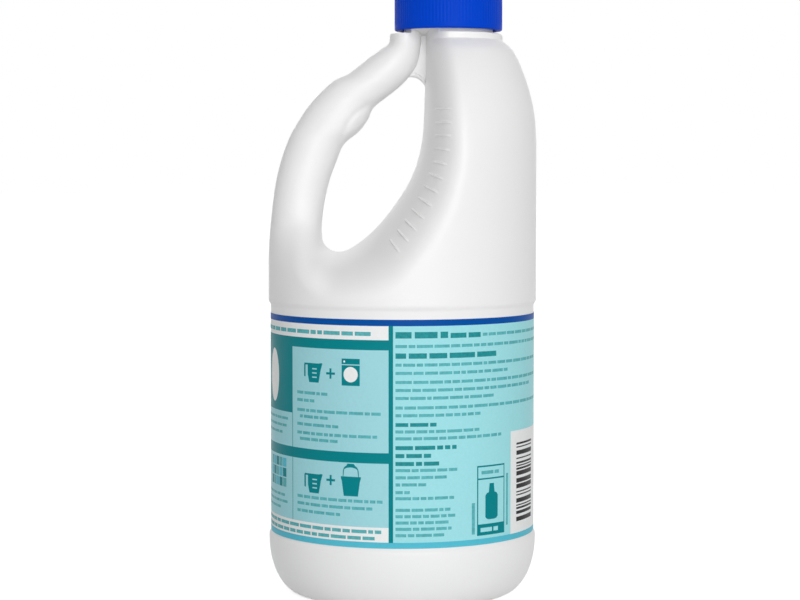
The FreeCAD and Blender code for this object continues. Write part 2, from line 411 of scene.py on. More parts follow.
def add_grid(bm, rings, closed=True):
    """Quads between following rings of vertices."""
    for low, high in zip(rings, rings[1:]):
        count = len(low)
        for i in range(count if closed else count - 1):
            j = (i + 1) % count
            corners = [low[i], low[j], high[j], high[i]]
            corners = [v for k, v in enumerate(corners) if v not in corners[:k]]
            if len(corners) > 2 and bm.faces.get(corners) is None:
                bm.faces.new(corners)


def body_profile():
    """Radius and height from the seam down to the middle of the base."""
    profile = [(PANEL_R + PANEL_DEPTH * share, SEAM_Z - drop) for share, drop in PANEL_TOP]
    profile += [(PANEL_R, z) for z in PANEL_RINGS]
    profile += [(PANEL_R + PANEL_DEPTH * share, CORNER_H + rise) for share, rise in PANEL_FOOT]
    for i in range(CORNER_STEPS + 1):
        turn = math.pi / 2 * (1 - i / CORNER_STEPS)
        profile.append((FOOT_R + (BODY_R - FOOT_R) * math.sin(turn), CORNER_H * (1 - math.cos(turn))))
    profile += [((FOOT_R + FOOT_INNER_R) / 2, 0.0)]
    profile += [(FOOT_INNER_R + 0.4, 0.05), (FOOT_INNER_R - 0.8, 0.45)]
    profile += [(PUSH_UP_R + 1.2, PUSH_UP - 0.5), (PUSH_UP_R - 0.4, PUSH_UP - 0.05)]
    profile += [(PUSH_UP_R * share, PUSH_UP) for share in (0.8, 0.4, 1 / 15)]
    return profile


def bottle_skin():
    """Outer skin of handle, shoulder, body and base, thickened inwards."""
    bm = bmesh.new()
    before, seam, after = spoke_places()
    fronts = []
    backs = []
    for place in before + seam + after:
        station = station_at(place)
        cut = seam[0] < place < seam[-1]
        end = seam_share(station) if cut else 1.0
        front = []
        back = []
        for j in range(CROSS_STEPS + 1):
            share = end * (1 - math.cos(math.pi * j / CROSS_STEPS)) / 2
            point = sheet_point(station, share)
            on_edge = j == 0 or (j == CROSS_STEPS and not cut)
            if on_edge:
                point.y = 0
            front.append(bm.verts.new(point))
            back.append(front[-1] if on_edge else bm.verts.new((point.x, -point.y, point.z)))
        fronts.append(front)
        backs.append(back)
    add_grid(bm, fronts, closed=False)
    add_grid(bm, [row[::-1] for row in backs], closed=False)
    add_grid(bm, [fronts[0], backs[0]], closed=False)
    first = len(before)
    last = first + len(seam) - 1
    ring = [row[-1] for row in fronts[first:last + 1]] + [row[-1] for row in backs[last - 1:first:-1]]
    rings = [ring]
    wobble = [math.hypot(v.co.x, v.co.y) - BODY_R for v in ring]
    for level, (radius, z) in enumerate(body_profile()):
        fade = 1 - smooth_step(level / SEAM_RINGS)
        level_ring = []
        for v, error in zip(ring, wobble):
            angle = math.atan2(v.co.y, v.co.x)
            reach = radius + error * fade
            level_ring.append(bm.verts.new((reach * math.cos(angle), reach * math.sin(angle), z)))
        rings.append(level_ring)
    add_grid(bm, rings)
    bm.faces.new(rings[-1])
    bmesh.ops.recalc_face_normals(bm, faces=bm.faces)
    return bm


def thickened(bm):
    """The skin with its inner side, as geometry."""
    mesh = bpy.data.meshes.new("skin")
    bm.to_mesh(mesh)
    bm.free()
    skin = bpy.data.objects.new("skin", mesh)
    bpy.context.scene.collection.objects.link(skin)
    wall = skin.modifiers.new("wall", "SOLIDIFY")
    wall.thickness = WALL
    wall.offset = -1
    bpy.context.view_layer.update()
    graph = bpy.context.evaluated_depsgraph_get()
    solid = bpy.data.meshes.new_from_object(skin.evaluated_get(graph))
    bpy.data.objects.remove(skin)
    result = bmesh.new()
    result.from_mesh(solid)
    bpy.data.meshes.remove(solid)
    return result


def even_angles(steps):
    return [2 * math.pi * i / steps for i in range(steps)]


def turned(bm, profile, x, angles, shape):
    """Closed profile of (radius, height) turned about the vertical axis through x."""
    rings = []
    for radius, z in profile:
        ring = []
        for angle in angles:
            point = Vector((x + radius * math.cos(angle), radius * math.sin(angle), z))
            ring.append(bm.verts.new(shape(point, radius, angle)))
        rings.append(ring)
    add_grid(bm, rings + rings[:1])


def add_thread(bm, wall_r, out, start_z):
    """Right-handed thread on a wall, standing out by out, tapered away at both ends."""
    steps = round(THREAD_STEPS * THREAD_TURNS)
    root = wall_r - out * THREAD_ROOT
    rings = []
    for i in range(steps + 1):
        angle = 2 * math.pi * i / THREAD_STEPS
        crest = wall_r + out * smooth_step(min(i, steps - i) / THREAD_TAPER_STEPS)
        z = start_z + THREAD_PITCH * i / THREAD_STEPS
        section = [(root, -THREAD_HALF), (crest, -THREAD_CREST_HALF),
                   (crest, THREAD_CREST_HALF), (root, THREAD_HALF)]
        rings.append([bm.verts.new((NECK_X + r * math.cos(angle), r * math.sin(angle), z + dz))
                      for r, dz in section])
    add_grid(bm, rings)
    bm.faces.new(rings[0])
    bm.faces.new(rings[-1][::-1])


def plan_reach(x):
    """Half depth of the handle's or the column's top at x."""
    station = STATIONS[0] if x < POCKET_X else STATIONS[-1]
    share = clamp((x - station[0]) / (station[2] - station[0]))
    return -sheet_point(station, share).y


def neck_reach(x):
    """Half depth of the neck's wall at x."""
    return math.sqrt(max(0.0, NECK_R ** 2 - (x - NECK_X) ** 2))


def pocket_ends():
    """The x where the handle's top, and where the column's top, comes out from under the neck's wall."""
    def covered(x):
        return plan_reach(x) > neck_reach(x)

    on_handle = find_place(STATIONS[0][0], NECK_X - NECK_R + 0.5, covered)
    on_column = find_place(STATIONS[-1][0], NECK_X, covered)
    return on_handle, on_column


def collared(point, radius, over_pocket, ends):
    """Neck and collar where they meet handle and column. The collar ends towards the pocket, and the
    neck's foot is drawn up to the pocket's ceiling, and into the handle's top."""
    x, y, z = point
    if radius > NECK_R:
        full = smooth_step((x - COLLAR_START_X) / (COLLAR_FULL_X - COLLAR_START_X))
        part = COLLAR_REST + (1 - COLLAR_REST) * full
        ratio = (NECK_R + (radius - NECK_R) * part) / radius
        x = NECK_X + (x - NECK_X) * ratio
        y *= ratio
        if not over_pocket:
            x = min(x, ends[0]) if x < POCKET_X else max(x, ends[1])
        inset = COLLAR_INSET * smooth_step((x - COLLAR_FULL_X) / COLLAR_INSET_RUN)
        y = math.copysign(min(abs(y), max(neck_reach(x), plan_reach(x) - inset)), y)
    level = pocket_ceiling(y) if over_pocket else COLLAR_TOP - HANDLE_SINK
    if (over_pocket or x < POCKET_X) and z <= max(level, COLLAR_TOP):
        z = level + (z - level) * FOOT_FLATNESS
    return Vector((x, y, z))


def pocket_ceiling(y):
    """Height of the neck's underside between handle and column."""
    return POCKET_TIP_Z + (POCKET_TOP_Z - POCKET_TIP_Z) * clamp(abs(y) / POCKET_RISE_DEPTH)


def add_pocket(bm):
    """Underside of the neck between handle and column, and their walls that reach up to it."""
    left_x, right_x = pocket_ends()
    for side in (1, -1):
        rows = []
        for i in range(POCKET_STEPS + 1):
            y = POCKET_DEPTH * i / POCKET_STEPS
            left = max(left_x, NECK_X - math.sqrt(NECK_R ** 2 - y ** 2))
            step = (right_x - left) / POCKET_CROSS_STEPS
            rows.append([bm.verts.new((left + step * j, -y * side, pocket_ceiling(y)))
                         for j in range(POCKET_CROSS_STEPS + 1)])
        add_grid(bm, rows, closed=False)
        for station, end_x in ((STATIONS[0], left_x), (STATIONS[-1], right_x)):
            reach = (end_x - station[0]) / (station[2] - station[0])
            wall = []
            for i in range(POCKET_STEPS + 1):
                point = sheet_point(station, reach * (i / POCKET_STEPS) ** 2)
                top = pocket_ceiling(point.y) + POCKET_OVERLAP / 4
                wall.append([bm.verts.new((point.x, point.y * side, z))
                             for z in (point.z - POCKET_OVERLAP, top)])
            add_grid(bm, wall, closed=False)


def add_neck(bm):
    """Neck, lip and collar. Each small round has one point between its ends, at ARC_MIDDLE of its radius
    from the two faces."""
    mouth_arc = MOUTH_EDGE_R * ARC_MIDDLE
    fillet_arc = NECK_FILLET_R * ARC_MIDDLE
    foot = COLLAR_BOTTOM - COLLAR_TUCK
    profile = [
        (BORE_R, COLLAR_BOTTOM + WALL),
        (BORE_R, NECK_MIDDLE_Z),
        (BORE_R, NECK_TOP - MOUTH_CHAMFER),
        (BORE_R + MOUTH_CHAMFER, NECK_TOP),
        (NECK_R - MOUTH_EDGE_R, NECK_TOP),
        (NECK_R - mouth_arc, NECK_TOP - mouth_arc),
        (NECK_R, NECK_TOP - MOUTH_EDGE_R),
        (NECK_R, NECK_MIDDLE_Z),
        (NECK_R, COLLAR_TOP + NECK_FILLET_R),
        (NECK_R + fillet_arc, COLLAR_TOP + fillet_arc),
        (NECK_R + NECK_FILLET_R, COLLAR_TOP),
        (COLLAR_R - COLLAR_EDGE_R, COLLAR_TOP),
        (COLLAR_R - COLLAR_EDGE_R * 0.6, COLLAR_TOP - COLLAR_EDGE_R * 0.1),
        (COLLAR_R - COLLAR_EDGE_R * 0.25, COLLAR_TOP - COLLAR_EDGE_R * 0.35),
        (COLLAR_R - COLLAR_EDGE_R * 0.05, COLLAR_TOP - COLLAR_EDGE_R * 0.7),
        (COLLAR_R, COLLAR_TOP - COLLAR_EDGE_R * 1.1),
        (COLLAR_R, COLLAR_BOTTOM + COLLAR_TUCK),
        (COLLAR_R - COLLAR_TUCK / 2, COLLAR_BOTTOM - COLLAR_TUCK / 2),
        (COLLAR_R - COLLAR_TUCK * 5 / 3, foot),
        (BORE_R, foot),
    ]
    ends = pocket_ends()
    last, first = [math.acos((x - NECK_X) / NECK_R) for x in ends]
    angles = even_angles(TURN_STEPS)
    for edge in (first, last, 2 * math.pi - first, 2 * math.pi - last):
        angles += [edge - POCKET_EDGE_TURN, edge + POCKET_EDGE_TURN]

    def shape(point, radius, angle):
        over_pocket = first < min(angle, 2 * math.pi - angle) < last
        return collared(point, radius, over_pocket, ends)

    turned(bm, profile, NECK_X, sorted(angles), shape)
    add_thread(bm, NECK_R, THREAD_HEIGHT, NECK_TOP - THREAD_DROP)


def add_web(bm):
    """Thin web with a rounded lower rim."""
    rows = []
    for i in range(WEB_STEPS + 1):
        place = (len(WEB_ARCH) - 1) * i / WEB_STEPS
        x, z = [spline_value(column, place) for column in zip(*WEB_ARCH)]
        top_x = WEB_TOP_LEFT + (WEB_TOP_RIGHT - WEB_TOP_LEFT) * i / WEB_STEPS
        section = [
            (top_x, -WEB_PLATE_HALF, POCKET_TIP_Z + 0.1),
            (x, -WEB_PLATE_HALF, z + WEB_BEAD + 0.3),
            (x, -WEB_HALF, z + WEB_BEAD - 0.2),
        ]
        for k in range(WEB_RIM_STEPS + 1):
            turn = math.pi * k / WEB_RIM_STEPS
            section.append((x, -WEB_HALF * math.cos(turn), z + WEB_HALF * (1 - math.sin(turn))))
        section += [(px, -py, pz) for px, py, pz in section[2::-1]]
        rows.append([bm.verts.new(point) for point in section])
    add_grid(bm, rows, closed=False)


def add_mark(bm, place, start, end, width, side):
    """Low rounded rib across the flank at a spoke, between two distances from the hole's edge."""
    station = station_at(place)
    length = math.hypot(station[2] - station[0], station[3] - station[1])
    after = sheet_point(station_at(place + PLACE_NUDGE), start / length)
    before = sheet_point(station_at(place - PLACE_NUDGE), start / length)
    step = (after - before).length / (2 * PLACE_NUDGE)
    rows = []
    for i in range(MARK_ALONG + 1):
        distance = start + (end - start) * i / MARK_ALONG
        row = []
        for j in range(MARK_ACROSS + 1):
            offset = j / MARK_ACROSS - 0.5
            near = station_at(place + offset * width / step)
            spoke = math.hypot(near[2] - near[0], near[3] - near[1])
            share = distance / spoke
            point = sheet_point(near, share)
            slope = sheet_point(near, share + SHARE_NUDGE) - sheet_point(near, share - SHARE_NUDGE)
            other = station_at(place + offset * width / step + 0.02)
            normal = (sheet_point(other, share) - point).cross(slope).normalized()
            if normal.y > 0:
                normal.negate()
            height = MARK_HEIGHT * math.cos(math.pi * offset) * smooth_step(min(i, MARK_ALONG - i) / 2)
            point += normal * (height - MARK_SINK)
            row.append(bm.verts.new((point.x, point.y * side, point.z)))
        rows.append(row if side > 0 else row[::-1])
    add_grid(bm, rows, closed=False)


def add_marks(bm):
    """Row of short raised ribs beside the hand hole, on both faces of the moulding."""
    for side in (1, -1):
        for i in range(MARK_COUNT):
            place = MARK_FIRST + (MARK_LAST - MARK_FIRST) * i / (MARK_COUNT - 1)
            start = MARK_START - MARK_DRIFT * i / (MARK_COUNT - 1)
            add_mark(bm, place, start, start + MARK_LENGTH, MARK_WIDTH, side)


def add_pinch_line(bm):
    """Scar across the base where the mould closed."""
    root = PUSH_UP + 0.05
    rings = []
    for i in range(PINCH_STEPS + 1):
        x = PINCH_REACH * (2 * i / PINCH_STEPS - 1)
        crest = PUSH_UP - PINCH_HEIGHT * smooth_step(min(i, PINCH_STEPS - i) / 2)
        section = [(-PINCH_HALF, root), (-PINCH_CREST_HALF, crest),
                   (PINCH_CREST_HALF, crest), (PINCH_HALF, root)]
        rings.append([bm.verts.new((x, y, z)) for y, z in section])
    add_grid(bm, rings, closed=False)


def finish_piece(name, bm, body, node, materials):
    """Object from geometry in mm, riding on a body in place of its CAD node."""
    bmesh.ops.scale(bm, vec=(MM, MM, MM), verts=bm.verts)
    mesh = bpy.data.meshes.new(name)
    bm.to_mesh(mesh)
    bm.free()
    for material in materials:
        mesh.materials.append(material)
    mesh.shade_smooth()
    mesh.set_sharp_from_angle(angle=math.radians(SHARP_ANGLE))
    piece = bpy.data.objects.new(name, mesh)
    bpy.context.scene.collection.objects.link(piece)
    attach(piece, body)
    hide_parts(node)
    return piece


def rounded(top, radius, corner_r):
    """Corner points of a quarter round from the side to the top."""
    points = []
    for k in range(CAP_EDGE_STEPS + 1):
        turn = math.pi / 2 * k / CAP_EDGE_STEPS
        points.append((radius - corner_r * (1 - math.cos(turn)), top - corner_r * (1 - math.sin(turn))))
    return points


def ribbed(point, radius, angle):
    """Fine ribs on the upright side of the cap."""
    above_lip = smooth_step((point.z - CAP_BOTTOM - CAP_LIP_H) / 0.5)
    below_edge = smooth_step((CAP_TOP - CAP_EDGE_R - point.z) / 1.0)
    outer = smooth_step((radius - CAP_R + 0.6) / 0.5)
    groove = (0.5 + 0.5 * math.cos(RIB_COUNT * angle)) ** 1.6
    cut = RIB_DEPTH * groove * above_lip * below_edge * outer
    share = (radius - cut) / radius
    return Vector((NECK_X + (point.x - NECK_X) * share, point.y * share, point.z))


def cap_geometry():
    bm = bmesh.new()
    dish = CAP_TOP - CAP_DISH
    lower_edge = [(0.9, 0.0), (0.35, 0.05), (0.08, 0.3), (0.0, 0.7)]
    outside = [(CAP_R - inset, CAP_BOTTOM + rise) for inset, rise in lower_edge]
    outside += [(CAP_R, CAP_BOTTOM + CAP_LIP_H + rise) for rise in (0.0, 0.25, 0.5, 6.0, 12.0, 18.0)]
    outside += [(CAP_R, CAP_TOP - CAP_EDGE_R - drop) for drop in (1.0, 0.6, 0.3)]
    outside += rounded(CAP_TOP, CAP_R, CAP_EDGE_R)
    outside += [(CAP_R - 3.2, CAP_TOP), (CAP_R - 3.6, CAP_TOP - 0.12), (CAP_R - 3.9, dish)]
    outside += [(CAP_MIDDLE_R, dish), (CAP_CENTRE_R, dish)]
    inside = [
        (CAP_CENTRE_R, CAP_CEILING),
        (CAP_MIDDLE_R, CAP_CEILING),
        (CAP_BORE_R - CAP_BORE_CHAMFER, CAP_CEILING),
        (CAP_BORE_R, CAP_CEILING - CAP_BORE_CHAMFER),
        (CAP_BORE_R, CAP_BOTTOM + 10.0),
        (CAP_BORE_R, CAP_BOTTOM + 0.5),
        (CAP_BORE_R + 0.4, CAP_BOTTOM),
    ]
    turned(bm, outside + inside, NECK_X, even_angles(RIB_COUNT * RIB_STEPS), ribbed)
    axis = Vector((NECK_X, 0))
    for z in (dish, CAP_CEILING):
        level = [v for v in bm.verts if abs(v.co.z - z) < 1e-4]
        rim = [v for v in level if (v.co.xy - axis).length < CAP_CENTRE_R + 0.4]
        rim.sort(key=lambda v: math.atan2(v.co.y, v.co.x - NECK_X))
        bm.faces.new(rim)
    add_thread(bm, CAP_BORE_R, -THREAD_HEIGHT, NECK_TOP - THREAD_DROP + THREAD_PITCH / 2)
    bmesh.ops.recalc_face_normals(bm, faces=bm.faces)
    return bm


class Print:
    """Geometry of the wrap-round label, built up from flat fields."""

    def __init__(self):
        self.bm = bmesh.new()

    def point(self, s, z, level):
        radius = LABEL_R - FILM_SINK + LEVEL_R * level
        angle = -math.pi / 2 + s / LABEL_R
        return radius * math.cos(angle), radius * math.sin(angle), z

    def columns(self, columns, colour, level):
        """Field between a lower and an upper edge, given at some places round the label."""
        fine = []
        for start, end in zip(columns, columns[1:]):
            count = max(1, math.ceil(abs(end[0] - start[0]) / PRINT_STEP))
            for i in range(count):
                fine.append([a + (b - a) * i / count for a, b in zip(start, end)])
        fine.append(columns[-1])
        rows = []
        for s, low, high in fine:
            rows.append([self.bm.verts.new(self.point(s, z, level)) for z in (low, high)])
        for left, right in zip(rows, rows[1:]):
            face = self.bm.faces.new([left[0], right[0], right[1], left[1]])
            face.material_index = COLOUR_ORDER.index(colour)

    def field(self, s0, s1, z0, z1, colour, level):
        self.columns([(s0, z0, z1), (s1, z0, z1)], colour, level)

    def disc(self, s, z, radius, colour, level, squash=1.0):
        """Filled ellipse, squash times as high as it is wide."""
        columns = []
        for i in range(DISC_STEPS + 1):
            turn = math.pi * i / DISC_STEPS
            reach = radius * squash * math.sin(turn)
            columns.append((s - radius * math.cos(turn), z - reach - 0.001, z + reach + 0.001))
        self.columns(columns, colour, level)

    def plus(self, s, z, size, colour, level):
        arm = size * PLUS_ARM
        self.field(s - size / 2, s + size / 2, z - arm, z + arm, colour, level)
        self.field(s - arm, s + arm, z - size / 2, z + size / 2, colour, level + 0.2)

    def words(self, s0, s1, z, height, seed, colour="ink", level=2):
        """Line of plain bars in the rhythm of words."""
        chance = random.Random(seed)
        s = s0
        while s < s1 - height:
            length = min(s1 - s, height * chance.uniform(1.4, 5.5))
            self.field(s, s + length, z - height / 2, z + height / 2, colour, level)
            s += length + height * 0.5


def placed(outline, s, z):
    """Columns of a small picture, moved to its place on the label."""
    return [(s + across, z + low, z + high) for across, low, high in outline]


def draw_cup(sheet, s, z):
    """Measuring cup with a handle."""
    bowl = [(-3.2, -0.6, 3.7), (-2.4, -3.6, 3.7), (2.4, -3.6, 3.7), (3.4, 1.2, 3.9), (4.2, 3.5, 3.9)]
    handle = [(-5.2, -1.4, 3.2), (-4.6, -1.6, 3.7), (-4.4, -1.6, 3.7)]
    for outline in (bowl, handle):
        sheet.columns(placed(outline, s, z), "teal", 2)
    sheet.field(s - 5.0, s - 3.0, z + 3.0, z + 3.7, "teal", 2)
    for rise in (-1.6, 0.0, 1.6):
        sheet.field(s - 0.8, s + 1.5, z + rise - 0.25, z + rise + 0.25, "aqua", 3)


def draw_drum(sheet, s, z):
    """Square housing with a round window."""
    sheet.field(s - 3.7, s + 3.7, z - 5.1, z + 5.1, "teal", 2)
    sheet.field(s - 3.7, s + 3.7, z + 2.6, z + 3.0, "aqua", 3)
    sheet.disc(s - 2.6, z + 4.0, 0.4, "paper", 3)
    sheet.disc(s, z - 0.9, 2.9, "paper", 3)


def draw_bucket(sheet, s, z):
    """Bucket with its bail and grip up."""
    pail = [(-4.1, 0.9, 1.5), (-3.7, -0.4, 1.5), (-2.9, -5.9, 1.5),
            (2.9, -5.9, 1.5), (3.7, -0.4, 1.5), (4.1, 0.9, 1.5)]
    bail = []
    for i in range(DISC_STEPS + 1):
        turn = math.pi * i / DISC_STEPS
        across = -3.3 * math.cos(turn)
        inside = 0.0 if abs(across) > 2.75 else 3.6 * math.sin(turn) ** 0.5
        bail.append((across, 1.4 + inside, 1.5 + 4.5 * math.sin(turn) ** 0.5))
    grip = [(-1.7, 5.3, 5.8), (-1.3, 5.2, 6.4), (1.3, 5.2, 6.4), (1.7, 5.3, 5.8)]
    sheet.columns(placed(pail, s, z), "teal", 2)
    sheet.columns(placed(bail, s, z), "teal", 2)
    sheet.columns(placed(grip, s, z), "teal", 2.2)


def draw_left_panels(sheet):
    """Two panels of directions, each with a picture of what goes together, and their bands."""
    sheet.words(LEFT_S, -12.0, 105.7, 1.5, 1)
    for low, high in (BAND_HIGH, BAND_LOW):
        sheet.field(LEFT_S, DIVIDE_LOW_S, low, high, "teal", 1)
    sheet.field(LEFT_S, FOLD_S, PICTURE_LOW, BAND_HIGH[0], "teal", 1)
    sheet.disc(-66.0, 87.5, 5.5, "paper", 2, squash=1.9)
    sheet.field(LEFT_S, FOLD_S, BAND_LOW[1], PICTURE_LOW, "aqua", 1)
    sheet.field(FOLD_S, DIVIDE_LOW_S, BAND_LOW[1], BAND_HIGH[0], "aqua", 1)
    sheet.field(LEFT_S, FOLD_S, PRINT_PANEL_LOW, BAND_LOW[0], "aqua", 1)
    sheet.field(FOLD_S, DIVIDE_LOW_S, PRINT_PANEL_LOW, BAND_LOW[0], "aqua", 1)
    sheet.field(FOLD_S - 0.15, FOLD_S + 0.15, PRINT_PANEL_LOW, PICTURE_LOW, "teal", 2)
    for row in range(3):
        for column in range(5):
            colour = ("teal", "stripe", "ink")[(row + 2 * column) % 3]
            s = -70.5 + 3.4 * column
            sheet.field(s, s + 2.9, 44.6 + 3.9 * row, 48.0 + 3.9 * row, colour, 2)
    far_lines = [(-52.5, 71.4), (-53.5, 68.6), (-56.0, 65.8), (-54.0, 41.4), (-53.0, 38.9), (-58.0, 36.4)]
    for i, (end, z) in enumerate(far_lines):
        sheet.words(-86.0, end, z, 1.0, 20 + i)
    pictures = [(draw_drum, 90.3, 0.2, 0.8), (draw_bucket, 49.8, 2.0, 0.3)]
    for draw_partner, z, cup_drop, partner_rise in pictures:
        draw_cup(sheet, CUP_S, z - cup_drop)
        sheet.plus(PLUS_S, z, PLUS_SIZE, "teal", 2)
        draw_partner(sheet, PARTNER_S, z + partner_rise)
    lines = [
        (-46, -30.0, 82.3), (-46, -35.0, 79.4), (-46, -7.5, 75.6), (-44.4, -29.0, 73.2),
        (-46, -25.0, 70.2), (-46, -9.5, 66.9), (-44.4, -25.5, 64.6), (-46, -7.5, 42.4),
        (-46, -10.0, 39.7), (-46, -23.0, 36.9),
    ]
    for i, (start, end, z) in enumerate(lines):
        sheet.words(start, end, z, WORD_HEIGHT, 40 + i)
    sheet.words(LEFT_S, -8.0, 31.0, 1.3, 60)
    sheet.words(LEFT_S, -10.5, 28.5, 1.3, 61)
    sheet.field(DIVIDE_LOW_S, DIVIDE_HIGH_S, PRINT_LOW, PRINT_HIGH + 0.1, "teal", 1.5)


def draw_right_panel(sheet):
    """Pale panel of fine print with a boxed mark and a striped field."""
    sheet.field(DIVIDE_HIGH_S, RIGHT_S, PRINT_LOW, PRINT_HIGH, "pale_aqua", 1)
    sheet.field(48.2, RIGHT_S, PRINT_LOW, 66.8, "paper", 1.5)
    start = WORD_START_S
    heavy = [
        (start, 17.5, 105.3, 2.4), (18.5, 31.5, 105.0, 1.9), (start, 41.5, 97.5, 2.0),
        (start, 15.0, 71.6, 1.4), (start, 21.0, 62.9, 1.5), (start, 11.0, 59.9, 1.5),
        (start, 14.0, 56.9, 1.5),
    ]
    for i, (s0, s1, z, height) in enumerate(heavy):
        sheet.words(s0, s1, z, height, 80 + i, "bold")
    sheet.words(32.5, 78.0, 105.0, WORD_HEIGHT, 100)
    fine = [
        (78, 101.1), (74, 94.1), (46, 91.0), (74, 87.6), (66, 84.6), (38, 81.6), (76, 78.0),
        (33, 75.1), (31, 69.0), (43, 66.4), (22.5, 54.4), (17, 51.7), (9, 49.0), (3, 46.1),
        (20, 43.8), (18.5, 39.4), (20.5, 37.0), (18.5, 34.6), (19, 32.2), (16, 29.8),
    ]
    for i, (end, z) in enumerate(fine):
        sheet.words(start, end, z, WORD_HEIGHT, 101 + i)
    draw_boxed_mark(sheet)
    draw_stripes(sheet)


def draw_boxed_mark(sheet):
    """Box with a plain bottle outline, a line of words above and below, and one upright on each side."""
    sheet.field(BOX_LOW_S, BOX_HIGH_S, 28.3, 55.0, "teal", 2)
    for low, high in ((50.2, 54.4), (32.6, 49.6)):
        sheet.field(BOX_LOW_S + BOX_LINE, BOX_HIGH_S - BOX_LINE, low, high, "pale_aqua", 3)
    sheet.words(32.0, 42.5, 52.3, 1.3, 140, "ink", 4)
    bottle = [(-3.2, 35.2, 43.4), (-2.5, 34.5, 44.3), (-1.5, 34.2, 44.6), (-1.1, 34.2, 48.0),
              (1.1, 34.2, 48.0), (1.5, 34.2, 44.6), (2.5, 34.5, 44.3), (3.2, 35.2, 43.4)]
    sheet.columns(placed(bottle, (BOX_LOW_S + BOX_HIGH_S) / 2, 0.0), "teal", 4)
    sheet.words(31.6, 42.8, 30.4, 1.6, 141, "pale_aqua", 4)
    sheet.field(27.6, 29.0, 29.0, 41.0, "ink", 2)
    sheet.field(45.3, 46.4, 31.0, 51.0, "ink", 2)


def draw_stripes(sheet):
    """Field of random dark stripes."""
    chance = random.Random(9)
    z = STRIPES_Z[0]
    while z < STRIPES_Z[1]:
        height = chance.choice((0.5, 0.8, 1.2, 1.7))
        sheet.field(*STRIPES_S, z, z + height, "dark", 2)
        z += height + chance.choice((0.5, 0.7, 1.1))


def draw_front(sheet):
    """Far side, which the photograph doesn't show: plain fields in the same colours."""
    end = 2 * math.pi * LABEL_R + LEFT_S
    middle = (RIGHT_S + end) / 2
    sheet.field(RIGHT_S, end, PRINT_LOW, PRINT_HIGH, "pale_aqua", 1)
    sheet.field(RIGHT_S, end, 78.0, BAND_HIGH[0], "teal", 1.5)
    boards = [(38.0, 44.0, 72.0, "paper", 2), (36.4, 45.6, 70.4, "aqua", 3)]
    for reach, low, high, colour, level in boards:
        sheet.field(middle - reach, middle + reach, low, high, colour, level)
    for i, (reach, z, height) in enumerate(((30.0, 64.0, 4.0), (24.0, 56.5, 2.6), (28.0, 51.0, 1.6))):
        sheet.words(middle - reach, middle + reach, z, height, 200 + i, "bold", 4)
    for place in (-18.0, 0.0, 18.0):
        sheet.disc(middle + place, 88.8, 5.5, "paper", 2)
        sheet.disc(middle + place, 88.8, 3.2, "stripe", 3)


def label_geometry():
    """The film, a band along each edge, and the print."""
    sheet = Print()
    start = LABEL_SEAM_S - 2 * math.pi * LABEL_R
    sheet.field(start, LABEL_SEAM_S, LABEL_BOTTOM, LABEL_TOP, "paper", 0)
    sheet.field(start, LABEL_SEAM_S, PRINT_HIGH, LABEL_TOP, "blue", 1)
    sheet.field(start, LABEL_SEAM_S, LABEL_BOTTOM, PRINT_LOW + 0.1, "stripe", 1.5)
    draw_left_panels(sheet)
    draw_right_panel(sheet)
    draw_front(sheet)
    return sheet.bm


def shader(name):
    """Empty node material with its principled shader."""
    material = bpy.data.materials.new(name)
    material.use_nodes = True
    return material, material.node_tree, material.node_tree.nodes["Principled BSDF"]


def add_node(tree, kind, **values):
    node = tree.nodes.new(kind)
    for key, value in values.items():
        if key in node.inputs:
            node.inputs[key].default_value = value
        else:
            setattr(node, key, value)
    return node


def noise(tree, scale, detail):
    """Noise in object space."""
    place = add_node(tree, "ShaderNodeTexCoord")
    texture = add_node(tree, "ShaderNodeTexNoise", Scale=scale, Detail=detail)
    tree.links.new(place.outputs["Object"], texture.inputs["Vector"])
    return texture.outputs["Fac"]


def ramp(tree, factor, low, high):
    """Value between low and high, as the noise goes from dark to light."""
    node = add_node(tree, "ShaderNodeMapRange")
    node.inputs["From Min"].default_value = 0.3
    node.inputs["From Max"].default_value = 0.7
    node.inputs["To Min"].default_value = low
    node.inputs["To Max"].default_value = high
    tree.links.new(factor, node.inputs["Value"])
    return node.outputs["Result"]


def tint(tree, factor, low, high):
    """Colour between low and high."""
    node = tree.nodes.new("ShaderNodeMix")
    node.data_type = "RGBA"
    node.inputs[MIX_LOW].default_value = (*low, 1)
    node.inputs[MIX_HIGH].default_value = (*high, 1)
    tree.links.new(factor, node.inputs[MIX_FACTOR])
    return node.outputs[MIX_RESULT]


def bump(tree, height, strength, distance):
    node = add_node(tree, "ShaderNodeBump", Strength=strength, Distance=distance)
    tree.links.new(height, node.inputs["Height"])
    return node.outputs["Normal"]


def moulded(name, colour, spread, roughness, grain, strength, gloss):
    """Moulded plastic: slight mottling, uneven gloss and a fine grained surface."""
    material, tree, body = shader(name)
    body.inputs["Specular IOR Level"].default_value = gloss
    cloud = noise(tree, scale=45, detail=4)
    fine = noise(tree, scale=grain, detail=4)
    light = [channel * (1 + spread) for channel in colour]
    dark = [channel * (1 - spread) for channel in colour]
    tree.links.new(tint(tree, cloud, dark, light), body.inputs["Base Color"])
    tree.links.new(ramp(tree, cloud, roughness - 0.04, roughness + 0.05), body.inputs["Roughness"])
    tree.links.new(bump(tree, fine, strength, distance=0.0002), body.inputs["Normal"])
    return material


